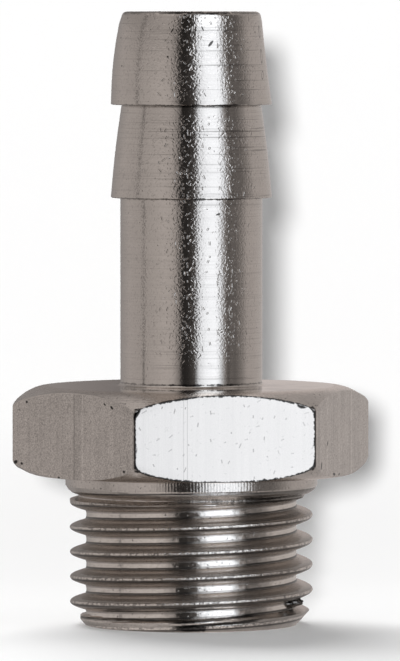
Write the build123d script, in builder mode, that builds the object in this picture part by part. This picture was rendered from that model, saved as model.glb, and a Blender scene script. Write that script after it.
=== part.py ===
from build123d import *
import os
from math import ceil, isclose, radians, tan

# Hose barb tail: a threaded shank with a collar, a spanner hex and a two-barb
# hose tail, turned from one hexagon bar and bored right through. Sizes in mm.
# The axis is Z, from the threaded end face (z = 0) up to the hose end.

# Threaded shank: parallel pipe thread G 1/4, right-handed
shank_length = 8.0
thread_pitch = 1.337
crest_radius = 6.55
thread_depth = 0.90
crest_width = 0.16
flank_angle = 27.5
shoulder_to_last_groove = 1.34
end_chamfer = 1.0

# Collar under the hex, and the V-shaped relief between it and the thread
collar_radius = 6.78
collar_height = 0.48
relief_depth = 0.47
relief_upper_height = 0.54
relief_lower_height = 0.38

# Spanner hex
hex_across_flats = 17.0
hex_height = 5.0
hex_face_radius = 8.05
hex_chamfer_angle = 30.0

# Hose tail for a hose of 8 mm bore
stem_radius = 3.815
stem_length = 10.0
stem_base_flare = 0.2
barb_count = 2
barb_length = 5.0
barb_radius = 4.325
barb_small_radius = 3.75
barb_bulge = 0.05
barb_edge_break = 0.1
nose_rounding = 0.3

# Bore
bore_radius = 2.75
bore_chamfer = 0.3

# Every turned section is drawn in one plane through the axis
seam_angle = 210.0
turning_plane = Plane.XZ.rotated((0, 0, seam_angle))

# Main planes
hex_bottom = shank_length
hex_top = hex_bottom + hex_height
barbs_bottom = hex_top + stem_length
tail_top = barbs_bottom + barb_count * barb_length

# Collar and relief, measured down from the hex
collar_bottom = shank_length - collar_height
relief_root = collar_bottom - relief_upper_height
thread_top = relief_root - relief_lower_height
relief_radius = crest_radius - relief_depth

# Thread groove: a trapezium that opens just past the crest
flank_slope = tan(radians(flank_angle))
root_radius = crest_radius - thread_depth
root_width = thread_pitch - crest_width - 2 * thread_depth * flank_slope
cutter_width = thread_pitch - crest_width / 2
cutter_radius = root_radius + (cutter_width - root_width) / 2 / flank_slope
last_groove = shank_length - shoulder_to_last_groove
groove_turns = ceil(last_groove / thread_pitch + 0.5)
first_groove = last_groove - groove_turns * thread_pitch


def groove_outline(height):
    """Corners of the thread groove's section, centred at this height."""
    return (
        (root_radius, height - root_width / 2),
        (cutter_radius, height - cutter_width / 2),
        (cutter_radius, height + cutter_width / 2),
        (root_radius, height + root_width / 2),
    )


with BuildPart() as fitting:
    # Round stock for the shank, with its seam away from both ends of the groove
    with BuildSketch(Plane.XY.rotated((0, 0, seam_angle))):
        Circle(collar_radius)
    extrude(amount=shank_length)

    # The helical groove starts below the end face and climbs into the relief
    with BuildLine() as groove_path:
        Helix(thread_pitch, groove_turns * thread_pitch, root_radius, center=(0, 0, first_groove))
    with BuildSketch(Plane.XZ):
        with BuildLine():
            Polyline(*groove_outline(first_groove), close=True)
        make_face()
    sweep(path=groove_path.edge(), is_frenet=True, mode=Mode.SUBTRACT)

    # The cutter leaves the last groove straight on, along the tangent
    with BuildSketch(Plane.XZ):
        with BuildLine():
            Polyline(*groove_outline(last_groove), close=True)
        make_face()
    extrude(amount=-collar_radius, mode=Mode.SUBTRACT)

    # Turned outline over the thread crests, with the end chamfer, relief and collar
    with BuildSketch(turning_plane):
        with BuildLine():
            Polyline(
                (0, 0),
                (crest_radius - end_chamfer, 0),
                (crest_radius, end_chamfer),
                (crest_radius, thread_top),
                (relief_radius, relief_root),
                (collar_radius, collar_bottom),
                (collar_radius, shank_length),
                (0, shank_length),
                close=True,
            )
        make_face()
    revolve(axis=Axis.Z, mode=Mode.INTERSECT)

    # Hexagon with its corners turned off at both ends
    with BuildSketch(Plane.XY.offset(hex_bottom)):
        RegularPolygon(radius=hex_across_flats / 2, side_count=6, major_radius=False)
    extrude(amount=hex_height)
    chamfer_reach = hex_across_flats - hex_face_radius
    chamfer_drop = chamfer_reach * tan(radians(hex_chamfer_angle))
    for face_height, inward in ((hex_bottom, chamfer_drop), (hex_top, -chamfer_drop)):
        with BuildSketch(turning_plane):
            with BuildLine():
                Polyline(
                    (hex_face_radius, face_height),
                    (hex_across_flats, face_height),
                    (hex_across_flats, face_height + inward),
                    close=True,
                )
            make_face()
        revolve(axis=Axis.Z, mode=Mode.SUBTRACT)

    # Stem and barbs: each barb widens in a shallow curve to a square shoulder
    with BuildSketch(turning_plane) as tail_section:
        with BuildLine():
            Polyline((0, tail_top), (0, hex_top), (stem_radius, hex_top), (stem_radius, barbs_bottom))
            for barb in range(barb_count):
                shoulder = barbs_bottom + barb * barb_length
                inner_radius = stem_radius if barb == 0 else barb_small_radius
                middle_radius = (barb_radius + barb_small_radius) / 2 + barb_bulge
                Line((inner_radius, shoulder), (barb_radius, shoulder))
                ThreePointArc(
                    (barb_radius, shoulder),
                    (middle_radius, shoulder + barb_length / 2),
                    (barb_small_radius, shoulder + barb_length),
                )
            Line((barb_small_radius, tail_top), (0, tail_top))
        make_face()
        for barb in range(barb_count):
            barb_tip = (barb_radius, barbs_bottom + barb * barb_length)
            chamfer(tail_section.vertices().sort_by_distance(barb_tip)[0], length=barb_edge_break)
        nose_corner = tail_section.vertices().sort_by_distance((barb_small_radius, tail_top))[0]
        fillet(nose_corner, radius=nose_rounding)
    revolve(axis=Axis.Z)
    stem_base = fitting.edges().filter_by(GeomType.CIRCLE).sort_by_distance((0, 0, hex_top))[0]
    chamfer(stem_base, length=stem_base_flare)

    # Through bore, chamfered at both mouths
    Hole(radius=bore_radius)
    circles = fitting.edges().filter_by(GeomType.CIRCLE)
    chamfer([edge for edge in circles if isclose(edge.radius, bore_radius)], length=bore_chamfer)

fitting.part.label = "hose_barb_tail"

os.makedirs("parts", exist_ok=True)
export_step(fitting.part, "parts/hose_barb_tail.step")
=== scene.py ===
from math import asin, atan, cos, degrees, hypot, pi, radians, sin, sqrt, tan

import bpy
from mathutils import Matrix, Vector, noise


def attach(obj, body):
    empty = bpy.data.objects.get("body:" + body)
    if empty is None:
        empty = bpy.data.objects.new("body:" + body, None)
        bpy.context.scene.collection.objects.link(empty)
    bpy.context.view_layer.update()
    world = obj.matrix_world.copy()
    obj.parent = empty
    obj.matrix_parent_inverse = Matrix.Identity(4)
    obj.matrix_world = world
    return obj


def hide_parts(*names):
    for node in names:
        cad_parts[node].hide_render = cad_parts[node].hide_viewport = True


# Hose barb tail in nickel-plated brass: one closed mesh of the whole turned part, with its
# helical thread, rounded edges and wear. The part's sizes are in mm, and fitting() turns them
# into metres. The axis is Z. Angles are in degrees. On the mesh they run from +X,
# counter-clockwise seen from above. In the looks a turn runs from the side that faces the
# camera, and is positive towards the camera's right.

MM = 0.001

# Columns of the mesh, one for each degree round the axis, and the angle that makes an edge sharp
COLUMNS = 360
SMOOTH_ANGLE = 38

# Threaded shank: each ridge is a parabola with a rounded crest, each root a shallow curve
PITCH = 1.337
CREST_RADIUS = 6.55
THREAD_DEPTH = 0.90
ROOT_RADIUS = CREST_RADIUS - THREAD_DEPTH
RIDGE_SPREAD = 0.23
ROOT_CURVE = 0.60
ROOT_ROUNDING = 0.04
GROOVE_TURNS = 6
LAST_GROOVE = 6.66
FIRST_GROOVE = LAST_GROOVE - GROOVE_TURNS * PITCH
RUN_OUT_ANGLE = 40

# Distances from the crest at which a row follows the helix, and how near to the end of the
# thread a row joins its end ring
RIDGE_ROWS = (0.0, 0.035, 0.07, 0.12, 0.18, 0.25, 0.32, 0.38, 0.42, 0.455, 0.50, 0.56, 0.62)
ROW_SNAP = 0.012

# Wear of the shank: waves as (frequency, depth) over places of this size, and the crests'
# loss within a band of their radius
WEAR_SIZE = 6
WEAR_WAVES = ((1.3, 0.010), (5, 0.007))
CREST_LOSS = 0.018
CREST_LOSS_FREQUENCY = 3.1
CREST_LOSS_BAND = 0.12

# End of the shank: a chamfer, and a lip swollen over the start of the groove
END_CHAMFER = 1.0
END_SLOPE = 0.90
END_ROUNDING = 0.15
END_FACE_RINGS = 4
LIP_RADIUS = 5.98
LIP_PROUD = 0.04
LIP_TOP = 0.60
LIP_EDGE = (LIP_TOP - 0.05, LIP_TOP + 0.03)
LIP_SPAN = (120, 150, 235, 265)

# Burr in the last root: its place round the axis and height, its reach in both, how far it
# rises and how unevenly, and the frequencies of that
BURR_ANGLE = 328
BURR_HEIGHT = 1.34
BURR_REACH = (8.5, 0.33)
BURR_RISE = 0.58
BURR_UNEVENNESS = 0.36
BURR_FREQUENCY = (0.4, 6)
BURR_ROUNDING = 0.05

# Relief between the thread and the collar, as (height, radius), and its rings
RELIEF = (
    (6.80, 6.55), (6.87, 6.30), (6.94, 6.10), (7.03, 6.07),
    (7.08, 6.19), (7.17, 6.43), (7.34, 6.66), (7.52, 6.76),
)
RELIEF_RINGS = 18
THREAD_TOP = RELIEF[0][0]
COLLAR_BOTTOM = RELIEF[-1][0]
COLLAR_RADIUS = 6.78
COLLAR_ROUNDING = 0.06
COLLAR_RINGS = (0.2, 0.36)

# Spanner hex. Each cone is how much later it starts, and the radius past which it drops
# faster and by how much
ACROSS = 17.0
HEX_BOTTOM = 8.0
HEX_TOP = 13.0
HEX_FACE_RADIUS = 8.05
HEX_CHAMFER = tan(radians(30))
HEX_FACE_DROP = 0.08
HEX_FACE_ROUNDING = 0.20
TOP_CONE = (0.15, 9.40, 0.8)
BOTTOM_CONE = (0.33, 9.36, 0.9)
HEX_CORNER_ROUNDING = 0.16
HEX_EDGE_BREAK = 0.05
ARRIS_INSET = 0.012
CORNER_CROWDING = 0.9

# Rings of the hex: beyond the collar, from where the cones start and at which shares of
# their width, and up the flats
FACE_RINGS = (0.25, 0.5)
CONE_START = HEX_FACE_RADIUS - 0.35
CONE_SHARES = (0.0, 0.2, 0.4, 0.6, 0.8, 1.0)
FLAT_RINGS = 8

# Hose tail. The upper barb leans towards LEAN_ANGLE at its middle
STEM_RADIUS = 3.815
STEM_FLARE = 0.2
BARB_BOTTOMS = (23.0, 28.0)
BARB_LENGTH = 5.0
BARB_RADIUS = 4.325
BARB_SMALL_RADIUS = 3.75
BARB_BULGE = 0.05
TIP_ROUNDING = 0.09
NOSE_ROUNDING = 0.3
LEAN = 0.085
LEAN_ANGLE = 167.8
TAIL_TOP = BARB_BOTTOMS[-1] + BARB_LENGTH

# Rings of the hose tail: inwards over the hex's top, up the stem and up each barb
TOP_RINGS = [HEX_FACE_RADIUS - 0.6 - 0.45 * step for step in range(7)]
STEM_START = HEX_TOP + 0.4
STEM_RINGS = 8
SHOULDER_START = 0.03
BARB_RINGS = 16

# Bore
BORE_RADIUS = 2.75
BORE_CHAMFER = 0.3
BORE_MARGIN = 1
BORE_RINGS = 4

# The one plate of nickel, and the looks that it has on each zone of the surface
NICKEL = (0.70, 0.645, 0.60)
ZONES = ("turned", "thread", "collar", "flat", "cone")

# Steps that keep one seed's noise, and one seed's cells of nicks, away from the next one's
NOISE_STEPS = (7.3, 3.1, 5.7)
NICK_STEPS = (3.7, 1.9)

# Levels of the paper, the sky and the two lamps
PAPER_LEVEL = 0.80
GLOW_LEVEL = 0.15
BOUNCE_LEVEL = 0.20
SKY_LEVEL = 0.30
KEY_STRENGTH = 2.55
BACK_STRENGTH = 3.3

# The photograph's view: the camera's place round the object and its distance, the point it
# aims at, to the right of the axis and up, and its lens, all in mm; clipping in metres
VIEW_AZIMUTH = -12.2
VIEW_DOWN = 2.4
VIEW_DISTANCE = 437.6
VIEW_RIGHT = 0.468
VIEW_HEIGHT = 15.85
LENS = 443
CLIPPING = (0.01, 50)

# The front flat's turn, since that flat faces -Y
FRONT_TURN = -VIEW_AZIMUTH

# Dents on the tail: radius, turn, height, half length and half width, tilt
DENTS = (
    (4.15, 71.0, 31.9, 0.30, 0.12, 88),
    (4.15, 70.0, 30.6, 0.34, 0.13, 84),
    (4.20, 68.0, 29.6, 0.22, 0.12, 60),
)

# Dark pits on the tail and on the flats, in the same terms
TAIL_PITS = (
    (4.05, 15.2, 31.3, 0.22, 0.075, 48), (4.10, -17.8, 30.6, 0.06, 0.055, 0),
    (3.82, 22.0, 22.2, 0.14, 0.05, 20), (4.05, 27.5, 31.95, 0.05, 0.05, 0),
    (3.95, 62.0, 31.9, 0.05, 0.05, 0), (4.0, -70.0, 31.6, 0.05, 0.05, 0),
    (4.20, -62.0, 30.1, 0.05, 0.05, 0), (3.85, -15.0, 32.0, 0.16, 0.04, 60),
    (3.85, 9.0, 32.1, 0.15, 0.04, 115),
)
FLAT_PITS = (
    (8.93, 54.4, 10.07, 0.16, 0.07, 60), (9.33, 47.9, 8.93, 0.22, 0.08, 75),
    (9.46, 38.2, 12.16, 0.24, 0.13, 165), (9.27, -71.4, 12.15, 0.08, 0.07, 0),
    (9.68, -76.4, 8.90, 0.16, 0.10, 20), (9.45, -73.7, 8.84, 0.09, 0.07, 160),
    (8.57, -55.3, 8.20, 0.09, 0.07, 0), (9.43, -22.1, 8.75, 0.08, 0.07, 0),
    (9.05, -27.6, 12.10, 0.13, 0.07, 140), (8.60, 62.0, 8.35, 0.20, 0.08, 170),
    (8.55, 68.0, 8.30, 0.12, 0.06, 20), (9.20, -31.0, 12.25, 0.10, 0.05, 150),
    (9.60, -17.0, 11.85, 0.36, 0.10, 62),
)

# Upright lines drawn into the flats: turn, half width in degrees, darkness
DRAW_LINES = (
    (-47.0, 0.50, 0.26), (-44.8, 2.00, 0.05), (-42.6, 0.50, -0.14),
    (-19.0, 0.45, -0.16), (-2.6, 0.30, 0.14), (-1.3, 0.25, 0.20),
    (83.4, 0.70, -0.20), (81.0, 0.60, 0.08), (68.0, 0.50, -0.06), (61.0, 0.50, 0.08),
    (54.0, 0.60, -0.14), (51.5, 0.60, 0.10), (45.3, 0.80, 0.16),
)

# Painted shade as dark lines along edges of the tail, at the stem's foot, the barbs' shoulders
# and the nose: height and half width of each, and their darkness
SHADE_EDGES = (
    (HEX_TOP + 0.08, 0.05), (BARB_BOTTOMS[0], 0.06), (BARB_BOTTOMS[1], 0.06), (TAIL_TOP - 0.06, 0.08),
)
SHADE_EDGE_DARKNESS = 0.90

# How far the painted shade of the arris reaches in from the corners of the flats, and how far
# its line lies from the sharp corner
ARRIS_SHADE_REACH = 0.38
CORNER_INSET = 0.03

# Bands of painted light and shade along the thread, by the distance from the middle of the
# groove: the middle of each, and how far from it the mask is 0 and 1. The mask of the root's
# painted highlight is 0 in it and 1 on the flanks, which are painted darker. The others are
# painted shade as dark lines, in the root's lower corner and under the crest
ROOT_HIGHLIGHT_BAND = (0.010, 0.09, 0.13)
CORNER_SHADE_BAND = (-0.155, 0.070, 0.030)
UNDER_CREST_SHADE_BAND = (PITCH / 2 - 0.135, 0.07, 0.03)

# Distances from the crest at which the masks of its painted highlight line, and of the painted
# shade beside it, are 0 and 1
CREST_HIGHLIGHT_BAND = (0.10, 0.045)
NEAR_CREST_SHADE_BAND = (0.40, 0.10)

# Painted light and shade on the end lip: height, how far from it the mask is 0 and 1, and
# darkness. On the left a dark line of painted shade, and below it a face of painted highlight,
# between two heights. On the right, from the top down, lines of painted shade, painted
# highlight and painted shade. Then the slope of both sides, in mm a radian
LEFT_LIP_SHADE = (0.67, 0.085, 0.03, 0.55)
LEFT_LIP_HIGHLIGHT = (0.56, 0.50, -0.25)
RIGHT_LIP_SHADE_AND_HIGHLIGHT = ((0.61, 0.085, 0.04, 0.85), (0.50, 0.06, 0.04, -0.60), (0.36, 0.10, 0.06, 0.88))
LEFT_LIP_RISE = -0.16
RIGHT_LIP_RISE = -0.40

# Brightness of the light tent by the angle from the camera, towards its right: brown and grey
# cloth, a dark gap behind the camera, the white softbox, a dark gap past it, and cloth again
BROWN_GREY = (1.0, 0.90, 0.86)
WARM_GREY = (1.0, 0.95, 0.93)
COOL_WHITE = (0.84, 0.915, 1.0)
TENT_BANDS = (
    (BROWN_GREY, ((-180, 0.12), (-174, 0.26))),
    (WARM_GREY, (
        (-160, 0.30), (-120, 0.42), (-95, 0.40), (-85.5, 0.39), (-82.5, 0.13), (-79.5, 0.39),
        (-42, 0.48), (-29, 0.44), (-21, 0.26), (-18, 0.24), (-16.5, 0.02), (-4, 0.03), (8, 0.09),
    )),
    (COOL_WHITE, ((10, 0.85), (14, 1.12), (24, 1.42), (38, 1.50), (44, 1.38), (49, 0.78))),
    (WARM_GREY, (
        (55, 0.26), (62, 0.05), (65, 0.17), (74, 0.12), (90, 0.25), (101, 0.40), (140, 0.45), (160, 0.46),
    )),
    (BROWN_GREY, ((172, 0.55),)),
)

# Changes of the tent's brightness above and below its middle: less in a gap between cloth
# and crown, more over the softbox, then the crown and the foot
TENT_GAP = 0.20
TENT_CROWN = 0.34
TENT_FOOT = 0.22
SOFTBOX_RISE = 0.45
SOFTBOX_DROP = 0.50
SOFTBOX_MIDDLE = 31

# Brightness of the cloth overhead at the back, by how many tent radii to the camera's right
OVERHEAD_BANDS = ((-0.10, 1.0), (-0.08, 0.30), (0.02, 0.35), (0.06, 1.7), (0.17, 1.6), (0.21, 0.75))
CROWN_GREY = (0.40, 0.38, 0.37, 1.0)

# The tent's sphere, in metres, its columns and rows, and the tilt in degrees at which it ends
TENT_RADIUS = 0.09
TENT_HEIGHT = 0.012
TENT_COLUMNS = 96
TENT_ROWS = 24
TENT_TOP = 89

# Floor and backdrop, in metres: half width, where the curve starts, its radius, and the top
FLOOR_HALF = 3.0
SWEEP_START = 0.010
SWEEP_RADIUS = 0.014
SWEEP_STEPS = 12
BACKDROP_TOP = 0.2


def ramp(value, softness):
    """Zero below 0 and value above it, rounded over the softness."""
    return (value + hypot(value, softness)) / 2


def step_up(value, start, end):
    """Rises smoothly from 0 at start to 1 at end."""
    share = min(max((value - start) / (end - start), 0.0), 1.0)
    return share * share * (3 - 2 * share)


def groove_radius(offset):
    """Radius of the thread groove at this axial offset from its middle."""
    if abs(offset) > PITCH / 2:
        return 2 * CREST_RADIUS
    ridge = CREST_RADIUS - (PITCH / 2 - abs(offset)) ** 2 / RIDGE_SPREAD
    root = ROOT_RADIUS + offset**2 / (2 * ROOT_CURVE)
    return root + ramp(ridge - root, ROOT_ROUNDING)


def turned_radius(height):
    """Radius of the shank's turned outline, over the crests, at this height."""
    if height < END_CHAMFER:
        return CREST_RADIUS - (END_CHAMFER - height) * END_SLOPE
    for (low, low_radius), (high, high_radius) in zip(RELIEF, RELIEF[1:]):
        if low <= height < high:
            return low_radius + (high_radius - low_radius) * (height - low) / (high - low)
    return CREST_RADIUS if height < THREAD_TOP else COLLAR_RADIUS


def lip_radius(angle, height):
    """The swollen lip fills the start of the groove as far up as LIP_TOP."""
    swelling = step_up(angle, *LIP_SPAN[:2]) * (1 - step_up(angle, *LIP_SPAN[2:]))
    edge = 1 - step_up(height, *LIP_EDGE)
    rim = min(turned_radius(height) + LIP_PROUD, LIP_RADIUS)
    return ROOT_RADIUS + (rim - ROOT_RADIUS) * swelling * edge


def burr_radius(angle, height):
    """A torn lump of metal in the last root."""
    across = hypot((angle - BURR_ANGLE) / BURR_REACH[0], (height - BURR_HEIGHT) / BURR_REACH[1])
    torn = noise.noise(Vector((angle * BURR_FREQUENCY[0], height * BURR_FREQUENCY[1], 3.0)))
    return ROOT_RADIUS + (BURR_RISE + BURR_UNEVENNESS * torn) * ramp(1 - across * across, BURR_ROUNDING)


def worn_radius(radius, angle, height):
    """The radius after wear: shallow waves, and crests worn down unevenly."""
    spot = Vector((cos(radians(angle)), sin(radians(angle)), height / WEAR_SIZE)) * WEAR_SIZE
    waves = sum(depth * noise.noise(spot * frequency) for frequency, depth in WEAR_WAVES)
    crest = step_up(radius, CREST_RADIUS - CREST_LOSS_BAND, CREST_RADIUS)
    return radius + waves - CREST_LOSS * crest * (1 + noise.noise(spot * CREST_LOSS_FREQUENCY))


def shank_radius(angle, height):
    """Radius of the threaded shank: the turned outline less the groove and its run-out."""
    turn = min(round((height - FIRST_GROOVE) / PITCH - angle / 360), GROOVE_TURNS - 1)
    outline = turned_radius(height)
    radius = min(outline, groove_radius(height - FIRST_GROOVE - (turn + angle / 360) * PITCH))
    if angle < RUN_OUT_ANGLE:
        radius = min(radius, groove_radius(height - LAST_GROOVE) / cos(radians(angle)))
    radius = max(radius, lip_radius(angle, height))
    if abs(angle - BURR_ANGLE) < BURR_REACH[0]:
        radius = max(radius, min(burr_radius(angle, height), outline))
    return worn_radius(radius, angle, height)


def shank_ring(height):
    """Places on the shank all round at this height."""
    return [(shank_radius(angle, height), angle, height) for angle in range(COLUMNS)]


def arc_points(centre, radius, start, end, count):
    """Points (radius, height) along an arc, angles in degrees, both ends included."""
    steps = [start + (end - start) * step / (count - 1) for step in range(count)]
    return [(centre[0] + radius * cos(radians(a)), centre[1] + radius * sin(radians(a))) for a in steps]


def line_points(start, end, count):
    """Points (radius, height) from start to just before end."""
    return [
        (start[0] + (end[0] - start[0]) * step / count, start[1] + (end[1] - start[1]) * step / count)
        for step in range(count)
    ]


class Surface:
    """A mesh built ring by ring along the section, each ring a loop round the axis.

    Its faces are in the turned zone unless another one is named.
    """

    def __init__(self):
        self.points = []
        self.faces = []
        self.zones = []
        self.ring = None
        self.first = None

    def add_ring(self, places):
        """The points' numbers for a list of (radius, angle, height)."""
        start = len(self.points)
        self.points += [(r * cos(radians(a)), r * sin(radians(a)), z) for r, a, z in places]
        return list(range(start, start + len(places)))

    def add_face(self, corners, zone):
        self.faces.append(corners)
        self.zones.append(zone)

    def join(self, lower, upper, zone="turned"):
        for j in range(COLUMNS):
            k = (j + 1) % COLUMNS
            self.add_face((lower[j], lower[k], upper[k], upper[j]), zone)

    def extend(self, places, zone="turned"):
        """Adds a ring and joins it to the one before."""
        ring = self.add_ring(places)
        if self.ring is None:
            self.first = ring
        else:
            self.join(self.ring, ring, zone)
        self.ring = ring

    def round_ring(self, radius, height, zone="turned"):
        self.extend([(radius, angle, height) for angle in range(COLUMNS)], zone)

    def section(self, outline, zone="turned"):
        for radius, height in outline:
            self.round_ring(radius, height, zone)


def thread_block(surface, low, high):
    """Rows that follow the helix between two plane rings, so that every crest is a clean line."""
    bottom = surface.ring
    top = surface.add_ring(shank_ring(high))
    offsets = sorted({PITCH / 2 - x for x in RIDGE_ROWS} | {x - PITCH / 2 for x in RIDGE_ROWS[1:]} | {0.0})
    made = {}

    def vertex(row, column):
        """The point at this row and column, or the end ring's point where the row is past the end."""
        row, column = row + column // COLUMNS * len(offsets), column % COLUMNS
        turn, place = divmod(row, len(offsets))
        height = FIRST_GROOVE + (turn - 1 + column / COLUMNS) * PITCH + offsets[place]
        if height < low + ROW_SNAP:
            return bottom[column]
        if height > high - ROW_SNAP:
            return top[column]
        if (row, column) not in made:
            made[row, column] = surface.add_ring([(shank_radius(column, height), column, height)])[0]
        return made[row, column]

    for row in range((GROOVE_TURNS + 2) * len(offsets)):
        for column in range(COLUMNS):
            places = ((row, column), (row, column + 1), (row + 1, column + 1), (row + 1, column))
            corners = tuple(dict.fromkeys(vertex(*place) for place in places))
            if len(corners) > 2:
                surface.add_face(corners, "thread")
    surface.ring = top


def shank(surface):
    """End face, rounded end, thread, relief and collar."""
    tilt = degrees(atan(END_SLOPE))
    end_corner = CREST_RADIUS - END_CHAMFER * END_SLOPE
    centre = (end_corner - END_ROUNDING * tan(radians(tilt / 2)), END_ROUNDING)
    surface.section(line_points((BORE_RADIUS + BORE_CHAMFER, 0), (centre[0], 0), END_FACE_RINGS))
    surface.section(arc_points(centre, END_ROUNDING, -90, -90 + tilt, 5)[:-1])
    low = END_ROUNDING * (1 - cos(radians(tilt)))
    surface.extend(shank_ring(low))
    thread_block(surface, low, THREAD_TOP)
    for step in range(1, RELIEF_RINGS):
        height = THREAD_TOP + (COLLAR_BOTTOM - THREAD_TOP) * step / RELIEF_RINGS
        surface.extend(shank_ring(height), "thread")
    centre = (COLLAR_RADIUS - COLLAR_ROUNDING, COLLAR_BOTTOM + COLLAR_ROUNDING)
    surface.section(arc_points(centre, COLLAR_ROUNDING, -50, 0, 4), "collar")
    surface.section([(COLLAR_RADIUS, COLLAR_BOTTOM + rise) for rise in COLLAR_RINGS], "collar")
    surface.round_ring(COLLAR_RADIUS, HEX_BOTTOM, "collar")


def hex_angle(column):
    """Angle of a column on the hex, with the columns crowded towards the corners."""
    return column - degrees(CORNER_CROWDING / 6) * sin(radians(6 * column))


def hex_radius(angle):
    """Radius of the hex at this angle, its six corners slightly rounded."""
    flat = ACROSS / 2 / cos(radians(angle % 60 - 30))
    off_corner = radians((angle + 30) % 60 - 30)
    centre = (ACROSS / 2 - HEX_CORNER_ROUNDING) / cos(radians(30))
    if abs(off_corner) < asin(HEX_CORNER_ROUNDING / 2 / centre):
        reach = HEX_CORNER_ROUNDING**2 - (centre * sin(off_corner)) ** 2
        flat = min(flat, centre * cos(off_corner) + sqrt(reach))
    return flat


def cone_depth(radius, cone):
    """How far the rounded cone lies inside the hex's end plane at this radius."""
    lift, tip_radius, tip_drop = cone
    slope = (radius - HEX_FACE_RADIUS) * HEX_CHAMFER - lift
    return HEX_FACE_DROP + ramp(slope, HEX_FACE_ROUNDING) + tip_drop * max(radius - tip_radius, 0.0) ** 2


def top_height(radius):
    return HEX_TOP - cone_depth(radius, TOP_CONE)


def bottom_height(radius):
    return HEX_BOTTOM + cone_depth(radius, BOTTOM_CONE)


def spanner_hex(surface):
    """Hex with its corners turned off by a rounded cone at each end, every arris a little broken."""
    angles = [hex_angle(column) for column in range(COLUMNS)]
    sides = [hex_radius(angle) for angle in angles]

    def cone_ring(share, height):
        """A ring this share of the way from the cone's start to the flats."""
        radii = [CONE_START + (side - ARRIS_INSET - CONE_START) * share for side in sides]
        surface.extend([(radius, angle, height(radius)) for radius, angle in zip(radii, angles)], "cone")

    def flat_ring(share):
        """A ring this share of the way up the flats."""
        places = []
        for side, angle in zip(sides, angles):
            low, high = bottom_height(side) + HEX_EDGE_BREAK, top_height(side) - HEX_EDGE_BREAK
            places.append((side, angle, low + (high - low) * share))
        surface.extend(places, "flat")

    for rise in FACE_RINGS:
        surface.round_ring(COLLAR_RADIUS + rise, bottom_height(COLLAR_RADIUS + rise))
    for share in CONE_SHARES:
        cone_ring(share, bottom_height)
    for step in range(FLAT_RINGS + 1):
        flat_ring(step / FLAT_RINGS)
    for share in reversed(CONE_SHARES):
        cone_ring(share, top_height)


def barb_outline(bottom):
    """The barb's curve as (radius, height), from above its tip to below its small end."""
    points = []
    for step in range(1, BARB_RINGS - 1):
        share = step / BARB_RINGS
        straight = BARB_RADIUS + (BARB_SMALL_RADIUS - BARB_RADIUS) * share
        points.append((straight + BARB_BULGE * sin(pi * share), bottom + BARB_LENGTH * share))
    return points


def barb(surface, bottom, inner, lean):
    """Square shoulder, rounded tip and the curve above it, which leans by this much at its middle."""
    surface.section([(inner, bottom), (inner + SHOULDER_START, bottom)])
    tip = (BARB_RADIUS - TIP_ROUNDING, bottom + TIP_ROUNDING)
    surface.section(arc_points(tip, TIP_ROUNDING, -90, -4, 6))
    for radius, height in barb_outline(bottom):
        proud = lean * sin(pi * (height - bottom) / BARB_LENGTH)
        ring = [(radius + proud * cos(radians(a - LEAN_ANGLE)), a, height) for a in range(COLUMNS)]
        surface.extend(ring)


def hose_tail(surface):
    """Stem, two barbs and the rounded nose."""
    surface.section([(radius, top_height(radius)) for radius in TOP_RINGS])
    base = top_height(STEM_RADIUS + STEM_FLARE)
    flare = arc_points((STEM_RADIUS + STEM_FLARE, base + STEM_FLARE), STEM_FLARE, 270, 180, 5)
    surface.section(flare)
    stem = line_points((STEM_RADIUS, STEM_START), (STEM_RADIUS, BARB_BOTTOMS[0]), STEM_RINGS)
    surface.section(stem)
    barb(surface, BARB_BOTTOMS[0], STEM_RADIUS, 0.0)
    barb(surface, BARB_BOTTOMS[1], BARB_SMALL_RADIUS, LEAN)
    nose = (BARB_SMALL_RADIUS - NOSE_ROUNDING, TAIL_TOP - NOSE_ROUNDING)
    surface.section(arc_points(nose, NOSE_ROUNDING, 6, 90, 7))


def bore(surface):
    """Chamfered mouths and the wall between them, down to the end face."""
    mouth = BORE_RADIUS + BORE_CHAMFER
    surface.section([(mouth, TAIL_TOP), (BORE_RADIUS, TAIL_TOP - BORE_CHAMFER)])
    wall = line_points((BORE_RADIUS, TAIL_TOP - BORE_MARGIN), (BORE_RADIUS, BORE_MARGIN), BORE_RINGS)
    surface.section(wall + [(BORE_RADIUS, BORE_MARGIN), (BORE_RADIUS, BORE_CHAMFER)])
    surface.join(surface.ring, surface.first)


def new_object(name, points, faces):
    """A mesh object in the scene, its points in metres."""
    mesh = bpy.data.meshes.new(name)
    mesh.from_pydata(points, [], faces)
    made = bpy.data.objects.new(name, mesh)
    bpy.context.scene.collection.objects.link(made)
    return made


def fitting():
    """The whole hose tail as one closed mesh object."""
    surface = Surface()
    shank(surface)
    spanner_hex(surface)
    hose_tail(surface)
    bore(surface)
    piece = new_object("hose_tail", [Vector(p) * MM for p in surface.points], surface.faces)
    mesh = piece.data
    mesh.polygons.foreach_set("material_index", [ZONES.index(zone) for zone in surface.zones])
    mesh.polygons.foreach_set("use_smooth", [True] * len(mesh.polygons))
    mesh.update()
    mesh.set_sharp_from_angle(angle=radians(SMOOTH_ANGLE))
    return piece


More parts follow.
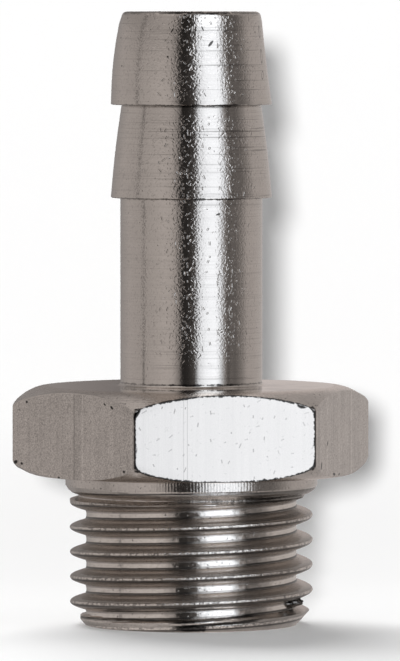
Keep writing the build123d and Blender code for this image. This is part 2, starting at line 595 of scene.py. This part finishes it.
class Nodes:
    """The node tree of a material or a world, built by short calls."""

    def __init__(self, owner):
        owner.use_nodes = True
        self.owner = owner
        self.tree = owner.node_tree
        self.tree.nodes.clear()

    def add(self, kind, values=(), **settings):
        """A node with its settings, its inputs set or linked by index or by name."""
        made = self.tree.nodes.new("ShaderNode" + kind)
        for name, value in settings.items():
            setattr(made, name, value)
        for key, value in values.items() if isinstance(values, dict) else enumerate(values):
            if isinstance(value, bpy.types.NodeSocket):
                self.tree.links.new(value, made.inputs[key])
            else:
                made.inputs[key].default_value = value
        return made

    def math(self, operation, *values):
        return self.add("Math", values, operation=operation).outputs[0]

    def minus(self, first, second):
        return self.math("SUBTRACT", first, second)

    def scaled(self, value, factor, added):
        """The value times the factor, plus what is added."""
        return self.math("MULTIPLY_ADD", value, factor, added)

    def vector(self, operation, values):
        return self.add("VectorMath", values, operation=operation).outputs[0]

    def product(self, first, *others):
        for other in others:
            first = self.math("MULTIPLY", first, other)
        return first

    def total(self, first, *others):
        for other in others:
            first = self.math("ADD", first, other)
        return first

    def weigh(self, *parts, base=None):
        """The sum of each value times its weight, plus the base."""
        weighted = [self.product(value, weight) for value, weight in parts]
        return self.total(*weighted) if base is None else self.total(*weighted, base)

    def length(self, first, second):
        """The square root of the sum of two squares."""
        return self.math("SQRT", self.total(self.product(first, first), self.product(second, second)))

    def off(self, value, middle):
        """How far the value is from the middle."""
        return self.math("ABSOLUTE", self.minus(value, middle))

    def fade(self, value, start, end, low=0.0, high=1.0):
        """Low at start and high at end, smooth between them and level beyond."""
        values = (value, start, end, low, high)
        return self.add("MapRange", values, interpolation_type="SMOOTHSTEP").outputs[0]

    def near(self, value, middle, start, end, low=0.0, high=1.0):
        """A fade by how far the value is from the middle."""
        return self.fade(self.off(value, middle), start, end, low, high)

    def facing(self, middle, start, end, low=0.0, high=1.0):
        """A fade by how far the turn is from the middle, in degrees."""
        return self.near(self.turn, radians(middle), radians(start), radians(end), low, high)

    def locate(self):
        """Sets place, height and radius in mm, and the turn in radians from the camera's side."""
        place = self.add("TexCoord").outputs["Object"]
        angle = -radians(VIEW_AZIMUTH)
        turned = self.add("VectorRotate", {"Vector": place, "Angle": angle}, rotation_type="Z_AXIS")
        self.place = self.vector("SCALE", {0: turned.outputs[0], "Scale": 1 / MM})
        x, y, self.height = self.add("SeparateXYZ", (self.place,)).outputs
        self.turn = self.math("ARCTAN2", x, self.math("MULTIPLY", y, -1.0))
        self.radius = self.length(x, y)

    def grain(self, across, along, seed, detail=2.0, rough=0.5):
        """Noise of 0 to 1 with features this many mm across and along the axis."""
        sizes = self.add("CombineXYZ", (1 / across, 1 / across, 1 / along)).outputs[0]
        place = self.vector("MULTIPLY_ADD", (self.place, sizes, [seed * step for step in NOISE_STEPS]))
        values = {"Vector": place, "Scale": 1.0, "Detail": detail, "Roughness": rough}
        return self.add("TexNoise", values).outputs[0]

    def waver(self, most, *grain):
        """A grain that runs from -most to most."""
        return self.scaled(self.grain(*grain), 2 * most, -most)

    def specks(self, size, seed, start, end):
        """Spots of about this size in mm, where a grain passes start, and full at end."""
        return self.fade(self.grain(size, size, seed, 1.0), start, end)

    def slanted(self, across, along, cosine, sine):
        """The same place measured along and beside a slanted line."""
        down = self.weigh((across, cosine), (along, sine))
        return down, self.minus(self.product(along, cosine), self.product(across, sine))

    def nicks(self, radius, cell, length, width, share, seed, lie=0.0, spread=180.0):
        """Short strokes, one at most in each cell, in mm, lying within the spread of an angle."""
        across = self.scaled(self.turn, radius / cell, seed * NICK_STEPS[0])
        along = self.scaled(self.height, 1 / cell, seed * NICK_STEPS[1])
        spot = self.add("CombineXYZ", (across, along, 0.0)).outputs[0]
        cells = self.add("TexVoronoi", {"Vector": spot, "Scale": 1.0}, voronoi_dimensions="2D")
        chance = self.add("SeparateColor", (cells.outputs["Color"],)).outputs
        local = self.vector("SUBTRACT", (spot, cells.outputs["Position"]))
        dx, dy, _ = self.add("SeparateXYZ", (local,)).outputs
        angle = self.scaled(chance[0], radians(spread), radians(lie - spread / 2))
        down, aside = self.slanted(dx, dy, self.math("COSINE", angle), self.math("SINE", angle))
        # Half of a stroke is 0.15 to 0.50 of the length
        reach = self.scaled(chance[1], length / cell * 0.35, length / cell * 0.15)
        inside = self.fade(self.math("DIVIDE", self.math("ABSOLUTE", down), reach), 1.0, 0.6)
        thin = self.fade(self.math("ABSOLUTE", aside), width / cell, 0.3 * width / cell)
        return self.product(inside, thin, self.math("LESS_THAN", chance[2], share))

    def oval(self, radius, turn, height, length, width, tilt):
        """0 in the middle of an oval and 1 at its edge, with its half length and half width."""
        across = self.scaled(self.turn, radius, -radians(turn) * radius)
        along = self.minus(self.height, height)
        down, aside = self.slanted(across, along, cos(radians(tilt)), sin(radians(tilt)))
        shares = (self.math("DIVIDE", down, length), self.math("DIVIDE", aside, width))
        return self.math("SQRT", self.total(*[self.math("POWER", share, 2.0) for share in shares]))

    def dent(self, *oval, line=0.035):
        """The outline of an oval dent, as a line of this half width."""
        width = oval[4]
        return self.near(self.oval(*oval), 1.0, line / width, 0.3 * line / width)

    def pit(self, *oval):
        """A solid oval with a soft edge."""
        return self.fade(self.oval(*oval), 1.2, 0.7)

    def patch(self, turn, height, half_turn, half_height, seed):
        """A ragged patch round a turn in degrees and a height."""
        across = self.scaled(self.turn, 1 / radians(half_turn), -turn / half_turn)
        along = self.scaled(self.height, 1 / half_height, -height / half_height)
        ragged = self.math("ADD", self.length(across, along), self.waver(0.5, 0.3, 0.2, seed, 3.0, 0.7))
        return self.fade(ragged, 1.05, 0.75)

    def darker(self, tone, *marks):
        """The tone times 1 - share where the mask is 1, for each mask and share."""
        for mask, share in marks:
            tone = self.product(tone, self.scaled(mask, -share, 1.0))
        return tone

    def plate(self, tone, relief, roughness):
        """Nickel plate of this tone, with its relief in mm."""
        tone = self.math("MINIMUM", tone, 1 / NICKEL[0])
        colour = self.vector("SCALE", {0: NICKEL, "Scale": tone})
        bump = self.add("Bump", {"Height": relief, "Distance": MM, "Strength": 1.0}).outputs[0]
        values = {"Base Color": colour, "Roughness": roughness, "Metallic": 1.0, "Normal": bump}
        return self.finish(self.add("BsdfPrincipled", values))

    def finish(self, shader):
        self.add("OutputMaterial", (shader.outputs[0],))
        return self.owner


def material_nodes(name):
    """The empty node tree of a new material."""
    return Nodes(bpy.data.materials.new(name))


def plate_nodes(name):
    """The node tree of a new material for the object, with the place on it worked out."""
    nodes = material_nodes(name)
    nodes.locate()
    return nodes


def painted_edge_shade(nodes, tone):
    """Painted shade: ragged dark lines along the edges of the tail, strongest on the front."""
    front = nodes.facing(8, 40, 20, 0.55, 1.0)
    ragged = nodes.waver(0.11, 0.35, 0.35, 18, 3.0, 0.7)
    for edge, width in SHADE_EDGES:
        off_edge = nodes.math("ADD", nodes.off(nodes.height, edge), ragged)
        line = nodes.product(nodes.fade(off_edge, width, 0.4 * width), front)
        tone = nodes.darker(tone, (line, SHADE_EDGE_DARKNESS))
    return tone


def ring_lines(nodes, rings):
    """Thin dark rings, fewest half way up the stem and on the camera's left."""
    middle = nodes.near(nodes.height, 18.6, 3.0, 5.2, 0.20, 1.0)
    left = nodes.fade(nodes.turn, radians(-40), radians(-5), 0.35, 1.0)
    return nodes.product(nodes.fade(rings, 0.43, 0.35), nodes.product(middle, left))


def turned_plate():
    """Turned surfaces: fine rings, grit and short strokes that sparkle, dents, painted shade at edges."""
    nodes = plate_nodes("turned_plate")
    rings = nodes.grain(9.0, 0.10, 1, 4.0, 0.7)
    grit = nodes.grain(0.13, 0.11, 2, 1.0)
    cloud = nodes.grain(1.6, 0.7, 3)
    stroke = nodes.nicks(STEM_RADIUS, 0.44, 0.34, 0.055, 0.26, seed=2, lie=70, spread=150)
    fleck = nodes.nicks(STEM_RADIUS, 0.19, 0.24, 0.045, 0.60, seed=5, lie=80, spread=150)
    fleck = nodes.product(fleck, nodes.facing(14.5, 4, 9, 0.10, 1.0))
    tone = nodes.weigh((rings, 0.26), (cloud, 0.12), (grit, 0.14), base=0.80)
    tone = nodes.darker(tone, (ring_lines(nodes, rings), 0.44), (stroke, 0.06), (fleck, 0.05))
    tone = nodes.darker(tone, (nodes.specks(0.16, 19, 0.75, 0.79), 0.6))
    # Painted shade along the tail's edges
    tone = painted_edge_shade(nodes, tone)
    tone = nodes.darker(tone, *[(nodes.dent(*dent), 0.55) for dent in DENTS])
    tone = nodes.darker(tone, *[(nodes.pit(*pit), 0.88) for pit in TAIL_PITS])
    # The foot of the stem and the shoulder of the upper barb are smoother than the rest
    clean_foot = nodes.fade(nodes.height, 13.6, 15.6, 0.12, 1.0)
    clean_shoulder = nodes.near(nodes.height, BARB_BOTTOMS[1] - 0.15, 0.15, 0.9, 0.25, 1.0)
    rough = nodes.weigh((grit, 0.010), (stroke, -0.012), (fleck, -0.005))
    relief = nodes.weigh((rings, 0.005), (rough, nodes.product(clean_foot, clean_shoulder)))
    return nodes.plate(tone, relief, nodes.fade(nodes.grain(0.8, 0.3, 4), 0.3, 0.75, 0.05, 0.09))


def groove_offset(nodes):
    """Axial distance in mm from the middle of the nearest groove, a little wavy."""
    turn = nodes.scaled(nodes.turn, 1 / (2 * pi), (VIEW_AZIMUTH - 90) / 360)
    climbed = nodes.scaled(nodes.height, 1 / PITCH, -FIRST_GROOVE / PITCH)
    phase = nodes.math("ADD", nodes.minus(climbed, turn), 0.5)
    phase = nodes.minus(nodes.math("FRACT", phase), 0.5)
    return nodes.scaled(phase, PITCH, nodes.waver(0.015, 0.5, 0.5, 9))


def lip_light_and_shade(nodes):
    """Painted shade and painted highlight as dark and bright lines along the end lip; positive is darker.
    """
    ragged = nodes.math("ADD", nodes.height, nodes.waver(0.07, 0.4, 0.4, 26, 3.0, 0.7))
    level = nodes.scaled(nodes.turn, LEFT_LIP_RISE, ragged)
    rising = nodes.scaled(nodes.turn, RIGHT_LIP_RISE, ragged)
    left = nodes.fade(nodes.turn, radians(-4), radians(-12))
    right = nodes.facing(13, 26, 19)
    line = nodes.near(level, *LEFT_LIP_SHADE[:3])
    face = nodes.fade(nodes.height, *LEFT_LIP_HIGHLIGHT[:2])
    left_lip_painted = nodes.weigh((line, LEFT_LIP_SHADE[3]), (face, LEFT_LIP_HIGHLIGHT[2]))
    right_lip_painted = nodes.weigh(*[(nodes.near(rising, *band), dark) for *band, dark in RIGHT_LIP_SHADE_AND_HIGHLIGHT])
    return nodes.weigh((left_lip_painted, left), (right_lip_painted, right))


def torn(nodes):
    """The dark torn metal of the burr."""
    lump = nodes.patch(BURR_ANGLE - 270 - VIEW_AZIMUTH, BURR_HEIGHT, 10.0, 0.34, seed=22)
    return nodes.product(lump, nodes.fade(nodes.grain(0.20, 0.14, 28, 2.0), 0.44, 0.56, 0.78, 1.0))


def from_crest(nodes, offset):
    """Axial distance in mm from the nearest crest."""
    return nodes.minus(PITCH / 2, nodes.math("ABSOLUTE", offset))


def painted_bands(nodes, tone, offset, flank, crest, shank):
    """The tone with painted highlights on roots and crests, and painted shade on flanks and as dark lines.
    """
    near_crest_shade = nodes.fade(from_crest(nodes, offset), *NEAR_CREST_SHADE_BAND)
    painted_banding = nodes.weigh((flank, -0.42), (crest, 0.62), (near_crest_shade, -0.22), base=0.30)
    tone = nodes.product(tone, nodes.total(nodes.product(painted_banding, shank), 1.0))
    under_crest_shade = nodes.product(nodes.near(offset, *UNDER_CREST_SHADE_BAND), shank)
    corner = nodes.product(nodes.near(offset, *CORNER_SHADE_BAND), nodes.facing(15, 12, 17, 0.1, 1.0))
    bead = nodes.product(nodes.fade(nodes.grain(0.20, 0.20, 25, 2.0), 0.50, 0.56), crest)
    return nodes.darker(tone, (under_crest_shade, 0.66), (corner, 0.74), (bead, 0.45))


def smear_burr_and_shade(nodes, tone, shank):
    """The tone with the lip's painted light and shade, black smear, torn burr and painted relief shade."""
    smear = nodes.patch(0.0, 0.22, 9.5, 0.20, seed=21)
    # Painted highlight and shade lines on the end lip, then the black smear and the torn burr
    tone = nodes.darker(tone, (lip_light_and_shade(nodes), 1.0), (smear, 0.92), (torn(nodes), 0.90))
    # Painted shade over the relief, darker towards the camera's right
    relief_shade = nodes.fade(nodes.turn, radians(22), radians(32), 0.05, 0.55)
    return nodes.darker(tone, (nodes.product(nodes.minus(1.0, shank), relief_shade), 1.0))


def thread_plate():
    """The thread: gritty crests that sparkle, painted highlights and shade in bands, satin flanks, pits.
    """
    nodes = plate_nodes("thread_plate")
    offset = groove_offset(nodes)
    flank = nodes.near(offset, *ROOT_HIGHLIGHT_BAND)
    crest = nodes.fade(from_crest(nodes, offset), *CREST_HIGHLIGHT_BAND)
    shank = nodes.fade(nodes.height, THREAD_TOP, THREAD_TOP - 0.2)
    grit = nodes.grain(0.16, 0.10, 5, 3.0, 0.6)
    speck = nodes.specks(0.13, 6, 0.68, 0.75)
    # Painted highlights on roots and crests, and painted shade on the flanks and in dark lines
    tone = painted_bands(nodes, nodes.scaled(grit, 0.44, 0.78), offset, flank, crest, shank)
    tone = nodes.darker(tone, (speck, 0.6), (nodes.fade(nodes.grain(1.2, 0.3, 7), 0.55, 0.8), 0.15))
    # Painted light and shade on the lip and relief, with the black smear and the torn burr
    tone = smear_burr_and_shade(nodes, tone, shank)
    relief = nodes.weigh((grit, nodes.scaled(crest, 0.055, 0.004)), (speck, -0.008))
    satin = nodes.scaled(nodes.minus(flank, crest), 0.18, 0.08)
    return nodes.plate(tone, relief, nodes.math("MAXIMUM", satin, 0.08))


def collar_plate():
    """The collar: chatter lines left by the tool on the front, and specks."""
    nodes = plate_nodes("collar_plate")
    waves = nodes.scaled(nodes.turn, 257.0, nodes.product(nodes.grain(2.0, 5.0, 8), 9.0))
    fresh = nodes.facing(5, 30, 18, 0.12, 1.0)
    uneven = nodes.fade(nodes.grain(0.7, 5.0, 20, 3.0), 0.35, 0.65, 0.3, 1.0)
    chatter = nodes.product(nodes.math("SINE", waves), fresh, uneven)
    grit = nodes.grain(0.16, 0.12, 5, 3.0, 0.6)
    tone = nodes.weigh((grit, 0.36), (chatter, 0.05), base=0.86)
    tone = nodes.darker(tone, (nodes.specks(0.14, 6, 0.66, 0.74), 0.5))
    return nodes.plate(tone, nodes.weigh((chatter, 0.0022), (grit, 0.012)), 0.12)


def cone_node(nodes, cone):
    """The same curve as cone_depth, at the shaded point's radius."""
    lift, tip_radius, tip_drop = cone
    slope = nodes.scaled(nodes.radius, HEX_CHAMFER, -HEX_FACE_RADIUS * HEX_CHAMFER - lift)
    rounded = nodes.math("SQRT", nodes.total(nodes.product(slope, slope), HEX_FACE_ROUNDING**2))
    tip = nodes.math("MAXIMUM", nodes.minus(nodes.radius, tip_radius), 0.0)
    tip = nodes.product(tip, tip, tip_drop)
    return nodes.total(nodes.product(nodes.total(slope, rounded), 0.5), tip, HEX_FACE_DROP)


def front_share(nodes):
    """1 on the flat that faces the camera, 0 on the others."""
    return nodes.facing(FRONT_TURN, 30.6, 29.9)


def from_corner_line(nodes):
    """Distances from the nearest upright corner between two flats, and inwards from the flat's plane."""
    sector = nodes.scaled(nodes.turn, 3 / pi, (VIEW_AZIMUTH - 90) / 60)
    sector = nodes.math("FLOORED_MODULO", sector, 1.0)
    off_middle = nodes.scaled(sector, pi / 3, -pi / 6)
    apothem = nodes.product(nodes.radius, nodes.math("COSINE", off_middle))
    aside = nodes.math("ABSOLUTE", nodes.product(nodes.radius, nodes.math("SINE", off_middle)))
    corner = nodes.minus(ACROSS / 2 * tan(radians(30)) - CORNER_INSET, aside)
    return nodes.math("ABSOLUTE", corner), nodes.minus(ACROSS / 2, apothem)


def from_cones(nodes):
    """Distance up or down from the nearer cone."""
    below_top = nodes.minus(nodes.minus(HEX_TOP, cone_node(nodes, TOP_CONE)), nodes.height)
    above_bottom = nodes.minus(nodes.minus(nodes.height, HEX_BOTTOM), cone_node(nodes, BOTTOM_CONE))
    return nodes.math("MINIMUM", below_top, above_bottom)


def arris(nodes):
    """Painted shade along the flats' edges, strong round the front one, and past its rounded corners."""
    corner, inwards = from_corner_line(nodes)
    curve = nodes.math("MAXIMUM", from_cones(nodes), inwards)
    front = front_share(nodes)
    from_corner = nodes.math("MAXIMUM", nodes.minus(ARRIS_SHADE_REACH, corner), 0.0)
    from_curve = nodes.math("MAXIMUM", nodes.minus(ARRIS_SHADE_REACH, curve), 0.0)
    edge = nodes.minus(ARRIS_SHADE_REACH, nodes.length(from_corner, from_curve))
    edge = nodes.math("ADD", edge, nodes.waver(0.18, 0.30, 0.30, 11, 4.0, 0.8))
    line = nodes.fade(nodes.math("ABSOLUTE", edge), 0.085, 0.03)
    line = nodes.product(line, nodes.scaled(front, 0.90, 0.04))
    return line, nodes.product(nodes.fade(edge, 0.0, -0.06), front)


def flat_plate():
    """The hex flats: upright draw lines, grit, small nicks, and painted shade at ragged edges."""
    nodes = plate_nodes("flat_plate")
    side = nodes.minus(1.0, front_share(nodes))
    draw = nodes.grain(0.35, 14.0, 12, 3.0, 0.6)
    nick = nodes.nicks(9.0, 0.62, 0.34, 0.05, 0.50, seed=3, lie=60, spread=120)
    fine = nodes.nicks(9.0, 0.34, 0.20, 0.035, 0.25, seed=4)
    grit = nodes.grain(0.08, 0.08, 13, 2.0, 0.6)
    cloud = nodes.grain(1.4, 1.8, 27, 3.0, 0.6)
    mottled = nodes.weigh((grit, 1.30), (cloud, 0.35), (draw, 0.26), base=-0.990)
    tone = nodes.weigh((draw, 0.10), (grit, 0.10), (mottled, side), base=0.94)
    speck = nodes.product(nodes.specks(0.16, 23, 0.71, 0.77), side)
    tone = nodes.darker(tone, (nick, 0.16), (fine, 0.10), (speck, 0.45))
    for turn, width, share in DRAW_LINES:
        tone = nodes.darker(tone, (nodes.facing(turn, width, 0.4 * width), share))
    # Painted shade along the arris and past the front flat's corners
    line, front_corner_shade = arris(nodes)
    tone = nodes.darker(tone, (line, 1.0), (front_corner_shade, 0.93))
    tone = nodes.darker(tone, *[(nodes.pit(*pit), 0.94) for pit in FLAT_PITS])
    relief = nodes.weigh((draw, 0.004), (nick, -0.004), (nodes.product(grit, side), 0.008))
    return nodes.plate(tone, relief, 0.15)


def cone_plate():
    """The cones that turn off the hex's corners: rings, mottling, specks and painted shade at the arris.
    """
    nodes = plate_nodes("cone_plate")
    wavy = nodes.product(nodes.grain(1.5, 1.5, 14), 9.0)
    rings = nodes.math("SINE", nodes.scaled(nodes.radius, 40.0, wavy))
    grit = nodes.grain(0.20, 0.10, 15, 4.0, 0.65)
    mottle = nodes.grain(0.9, 0.5, 24, 3.0, 0.6)
    speck = nodes.specks(0.16, 16, 0.66, 0.74)
    tone = nodes.weigh((grit, 0.50), (mottle, 0.30), (rings, 0.03), base=0.70)
    # Painted shade along the arris and past the front flat's corners
    line, front_corner_shade = arris(nodes)
    tone = nodes.darker(tone, (speck, 0.6), (line, 1.0), (front_corner_shade, 0.5))
    return nodes.plate(tone, nodes.weigh((grit, 0.016), (rings, 0.0010)), 0.16)


def tent_colour(nodes, share):
    """Colour of the tent by the share of the way round, as TENT_BANDS gives it."""
    bands = nodes.add("ValToRGB", (share,))
    wanted = [(degree, level, tint) for tint, rows in TENT_BANDS for degree, level in rows]
    stops = bands.color_ramp.elements
    while len(stops) < len(wanted):
        stops.new(1.0)
    for stop, (degree, level, tint) in zip(stops, wanted):
        stop.position = (degree + 180) / 360
        stop.color = (*[channel * level for channel in tint], 1)
    return bands.outputs[0]


def tent_level(nodes, share, tilt, up):
    """Brightness of cloth and softbox by the tilt above or below the middle."""
    gap = nodes.fade(tilt, radians(54), radians(46))
    cloth = nodes.near(share, 0.5 + SOFTBOX_MIDDLE / 360, 22 / 360, 27 / 360)
    softbox = nodes.minus(1.0, cloth)
    rise = nodes.product(softbox, nodes.fade(tilt, radians(26), radians(34), 0.0, SOFTBOX_RISE))
    dimmed = nodes.product(cloth, nodes.fade(tilt, radians(20), radians(27)))
    change = nodes.scaled(dimmed, -TENT_GAP, rise)
    lift = nodes.fade(up, -0.01, 0.01, TENT_FOOT, TENT_CROWN)
    crown = nodes.scaled(cloth, nodes.math("ADD", lift, SOFTBOX_DROP), -SOFTBOX_DROP)
    high = nodes.fade(tilt, radians(48), radians(56))
    return nodes.weigh((gap, change), (high, crown), base=1.0)


def overhead_level(nodes, right, front, tilt):
    """Brightness of the cloth overhead at the back, and 1 elsewhere."""
    aside = nodes.math("DIVIDE", right, TENT_RADIUS)
    overhead = OVERHEAD_BANDS[0][1]
    for (start, level), (end, following) in zip(OVERHEAD_BANDS, OVERHEAD_BANDS[1:]):
        overhead = nodes.math("ADD", nodes.fade(aside, start, end, 0.0, following - level), overhead)
    behind = nodes.product(nodes.fade(tilt, radians(42), radians(50)), nodes.fade(front, 0.0, -0.01))
    elsewhere = nodes.scaled(behind, -1.0, 1.0)
    return nodes.total(nodes.product(behind, overhead), elsewhere)


def tent_material():
    """Emission that follows the tent's tables, with a plain grey pole at each end."""
    nodes = material_nodes("light_tent")
    right, front, up = nodes.add("SeparateXYZ", (nodes.add("TexCoord").outputs["Object"],)).outputs
    share = nodes.scaled(nodes.math("ARCTAN2", right, front), 0.5 / pi, 0.5)
    tilt = nodes.math("ABSOLUTE", nodes.math("ARCTAN2", up, nodes.length(right, front)))
    level = nodes.product(tent_level(nodes, share, tilt, up), overhead_level(nodes, right, front, tilt))
    colour = nodes.vector("SCALE", {0: tent_colour(nodes, share), "Scale": level})
    pole = nodes.fade(tilt, radians(66), radians(74))
    mixed = nodes.add("Mix", {0: pole, 6: colour, 7: CROWN_GREY}, data_type="RGBA")
    return nodes.finish(nodes.add("Emission", (mixed.outputs[2],)))


def light_tent():
    """The cloth and softbox round the object, which only the metal mirrors."""
    points, faces = [], []
    for row in range(TENT_ROWS + 1):
        tilt = radians(-TENT_TOP + 2 * TENT_TOP * row / TENT_ROWS)
        for column in range(TENT_COLUMNS):
            turn = 2 * pi * column / TENT_COLUMNS
            place = (cos(tilt) * cos(turn), cos(tilt) * sin(turn), sin(tilt))
            points.append([TENT_RADIUS * c for c in place])
    for row in range(TENT_ROWS):
        for column in range(TENT_COLUMNS):
            a = row * TENT_COLUMNS + column
            b = row * TENT_COLUMNS + (column + 1) % TENT_COLUMNS
            faces.append((a, b, b + TENT_COLUMNS, a + TENT_COLUMNS))
    tent = new_object("light_tent", points, faces)
    # Its own +Y points at the camera and its +X to the camera's right
    tent.location = (0, 0, TENT_HEIGHT)
    tent.rotation_euler = (0, 0, radians(VIEW_AZIMUTH + 180))
    tent.scale = (-1, 1, 1)
    tent.data.materials.append(tent_material())
    tent.visible_camera = False
    tent.visible_diffuse = False
    tent.visible_shadow = False
    tent.visible_transmission = False


def pale_material():
    """Pale paper, seen from its upper side only, that bounces less light than it shows."""
    nodes = material_nodes("pale_sweep")
    direct = nodes.add("LightPath").outputs["Is Camera Ray"]
    level = nodes.add("MapRange", (direct, 0.0, 1.0, BOUNCE_LEVEL, PAPER_LEVEL)).outputs[0]
    paper = nodes.add("BsdfDiffuse", {"Color": level})
    glow = nodes.add("Emission", {"Strength": nodes.product(direct, GLOW_LEVEL)})
    paper = nodes.add("AddShader", (paper.outputs[0], glow.outputs[0]))
    clear = nodes.add("BsdfTransparent")
    side = nodes.add("NewGeometry").outputs["Backfacing"]
    return nodes.finish(nodes.add("MixShader", (side, paper.outputs[0], clear.outputs[0])))


def floor():
    """Pale floor that rises into a backdrop behind the object."""
    profile = [(-FLOOR_HALF, 0.0), (0.0, 0.0)]
    for step in range(SWEEP_STEPS + 1):
        turn = radians(90 * step / SWEEP_STEPS)
        profile.append((SWEEP_START + SWEEP_RADIUS * sin(turn), SWEEP_RADIUS * (1 - cos(turn))))
    profile.append((SWEEP_START + SWEEP_RADIUS, BACKDROP_TOP))
    points = [(side * FLOOR_HALF, depth, height) for depth, height in profile for side in (-1, 1)]
    faces = [(2 * i, 2 * i + 1, 2 * i + 3, 2 * i + 2) for i in range(len(profile) - 1)]
    sweep = new_object("floor", points, faces)
    sweep.data.polygons.foreach_set("use_smooth", [True] * len(faces))
    sweep.rotation_euler = (0, 0, radians(VIEW_AZIMUTH))
    sweep.data.materials.append(pale_material())
    sweep.visible_glossy = False
    sweep.visible_shadow = False


def sun(name, azimuth, elevation, strength, width):
    """A soft distant lamp that lights the floor and leaves no glint on the metal."""
    lamp = bpy.data.lights.new(name, "SUN")
    lamp.energy = strength
    lamp.angle = radians(width)
    lamp_object = bpy.data.objects.new(name, lamp)
    bpy.context.scene.collection.objects.link(lamp_object)
    lamp_object.rotation_euler = (radians(90 - elevation), 0, radians(azimuth))
    lamp_object.visible_glossy = False


def sky():
    """Pale world: white to the camera, the metal and clear things, and a dim light to the rest."""
    world = bpy.data.worlds.new("studio")
    bpy.context.scene.world = world
    nodes = Nodes(world)
    path = nodes.add("LightPath").outputs
    seen = nodes.math("MAXIMUM", path["Is Camera Ray"], path["Is Glossy Ray"])
    seen = nodes.math("MAXIMUM", seen, path["Is Transmission Ray"])
    level = nodes.add("MapRange", (seen, 0.0, 1.0, SKY_LEVEL, 1.0)).outputs[0]
    background = nodes.add("Background", {"Color": (1, 1, 1, 1), "Strength": level})
    nodes.add("OutputWorld", (background.outputs[0],))


def lights():
    """The sky, a key lamp near the camera, a soft one behind, and the tent."""
    sky()
    sun("key", VIEW_AZIMUTH - 3.0, VIEW_DOWN + 2.4, KEY_STRENGTH, 4.5)
    sun("back", VIEW_AZIMUTH + 198, 47, BACK_STRENGTH, 44)
    light_tent()


def camera():
    """The photograph's viewpoint."""
    data = bpy.data.cameras.new("camera")
    data.lens = LENS
    data.clip_start, data.clip_end = CLIPPING
    view = bpy.data.objects.new("camera", data)
    bpy.context.scene.collection.objects.link(view)
    turn, down = radians(VIEW_AZIMUTH), radians(VIEW_DOWN)
    aim = Vector((VIEW_RIGHT * cos(turn), VIEW_RIGHT * sin(turn), VIEW_HEIGHT)) * MM
    back = Vector((sin(turn) * cos(down), -cos(turn) * cos(down), sin(down)))
    view.location = aim + back * VIEW_DISTANCE * MM
    view.rotation_euler = (radians(90) - down, 0, turn)
    bpy.context.scene.camera = view


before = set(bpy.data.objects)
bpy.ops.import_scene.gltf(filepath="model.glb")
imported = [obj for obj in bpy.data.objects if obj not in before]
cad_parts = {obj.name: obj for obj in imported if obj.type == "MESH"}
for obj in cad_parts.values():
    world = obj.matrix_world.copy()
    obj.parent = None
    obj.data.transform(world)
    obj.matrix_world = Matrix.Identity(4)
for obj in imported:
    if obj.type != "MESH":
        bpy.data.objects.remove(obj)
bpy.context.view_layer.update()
bpy.context.scene.view_settings.view_transform = "Standard"

hose_tail_piece = fitting()
for plate in (turned_plate, thread_plate, collar_plate, flat_plate, cone_plate):
    hose_tail_piece.data.materials.append(plate())
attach(hose_tail_piece, "root")
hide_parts("hose_barb_tail")

camera()
lights()
floor()
